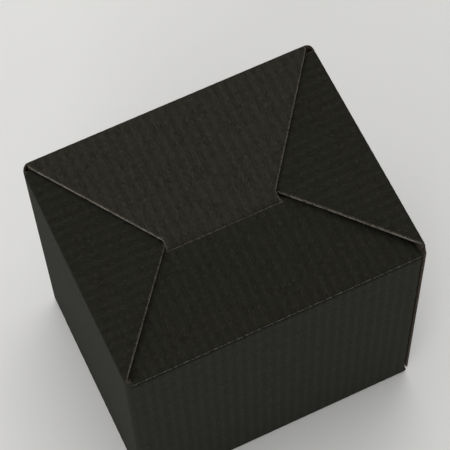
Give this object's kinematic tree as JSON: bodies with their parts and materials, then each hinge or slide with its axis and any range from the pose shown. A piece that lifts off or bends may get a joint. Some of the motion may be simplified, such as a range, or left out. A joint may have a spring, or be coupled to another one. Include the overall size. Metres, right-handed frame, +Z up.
{
  "type": "corrugated carton",
  "caption": "Small black corrugated carton with a snap-lock bottom and a tuck-in lid, standing upside down on its closed lid.",
  "frame": {"origin": "centre of the box around the object, at the level of the surface that it stands on", "axes": "+Z up, out of the snap-lock bottom; +X along the long side, to the right; +Y from the front wall to the back wall"},
  "size_m": [0.098, 0.0776, 0.1014],
  "materials": {
    "outer_liner": "matt black outer liner, faintly ribbed by the flutes",
    "worn_liner": "matt black outer liner, slightly browner",
    "inner_liner": "matt black inner liner",
    "cut_edge": "raw grey-brown cut edge with the fluting showing",
    "glue": "dried carton glue"
  },
  "bodies": {
    "walls": {"front_wall": "outer_liner", "back_wall": "outer_liner", "left_wall": "outer_liner", "right_wall": "outer_liner", "glue_flap": "inner_liner", "glue_film": "glue"},
    "tongue_flap": {"tongue_flap": "worn_liner", "lock_tongue": "worn_liner"},
    "left_side_flap": {"left_side_flap": "outer_liner"},
    "right_side_flap": {"right_side_flap": "outer_liner"},
    "recess_flap": {"recess_flap": "outer_liner"},
    "lid": {"lid": "outer_liner"},
    "tuck_flap": {"tuck_flap": "inner_liner"},
    "left_dust_flap": {"left_dust_flap": "inner_liner"},
    "right_dust_flap": {"right_dust_flap": "inner_liner"}
  },
  "joints": [
    {"name": "tongue_flap_crease", "type": "hinge", "parent": "walls", "child": "tongue_flap", "pos_m": [0, 0.03875, 0.1015], "axis": [-1, 0, 0], "range_deg": [0, 250], "deforming": ["lock_tongue"]},
    {"name": "left_side_flap_crease", "type": "hinge", "parent": "walls", "child": "left_side_flap", "pos_m": [-0.049, 0, 0.0996], "axis": [0, -1, 0], "range_deg": [0, 180]},
    {"name": "right_side_flap_crease", "type": "hinge", "parent": "walls", "child": "right_side_flap", "pos_m": [0.049, 0, 0.0996], "axis": [0, 1, 0], "range_deg": [0, 180]},
    {"name": "recess_flap_crease", "type": "hinge", "parent": "walls", "child": "recess_flap", "pos_m": [0, -0.03875, 0.0958], "axis": [1, 0, 0], "range_deg": [0, 100]},
    {"name": "lid_crease", "type": "hinge", "parent": "walls", "child": "lid", "pos_m": [0, -0.03875, 0], "axis": [-1, 0, 0], "range_deg": [0, 250]},
    {"name": "tuck_flap_crease", "type": "hinge", "parent": "lid", "child": "tuck_flap", "pos_m": [0, 0.03685, 0], "axis": [-1, 0, 0], "range_deg": [0, 83]},
    {"name": "left_dust_flap_crease", "type": "hinge", "parent": "walls", "child": "left_dust_flap", "pos_m": [-0.049, 0, 0.0019], "axis": [0, 1, 0], "range_deg": [0, 180]},
    {"name": "right_dust_flap_crease", "type": "hinge", "parent": "walls", "child": "right_dust_flap", "pos_m": [0.049, 0, 0.0019], "axis": [0, -1, 0], "range_deg": [0, 180]}
  ],
  "couplings": [
    {"joint": "left_side_flap_crease", "follows": "tongue_flap_crease", "ratio": 0.72},
    {"joint": "right_side_flap_crease", "follows": "tongue_flap_crease", "ratio": 0.72},
    {"joint": "recess_flap_crease", "follows": "tongue_flap_crease", "ratio": 0.4},
    {"joint": "tuck_flap_crease", "follows": "lid_crease", "ratio": 0.33},
    {"joint": "left_dust_flap_crease", "follows": "lid_crease", "ratio": 0.72},
    {"joint": "right_dust_flap_crease", "follows": "lid_crease", "ratio": 0.72}
  ]
}
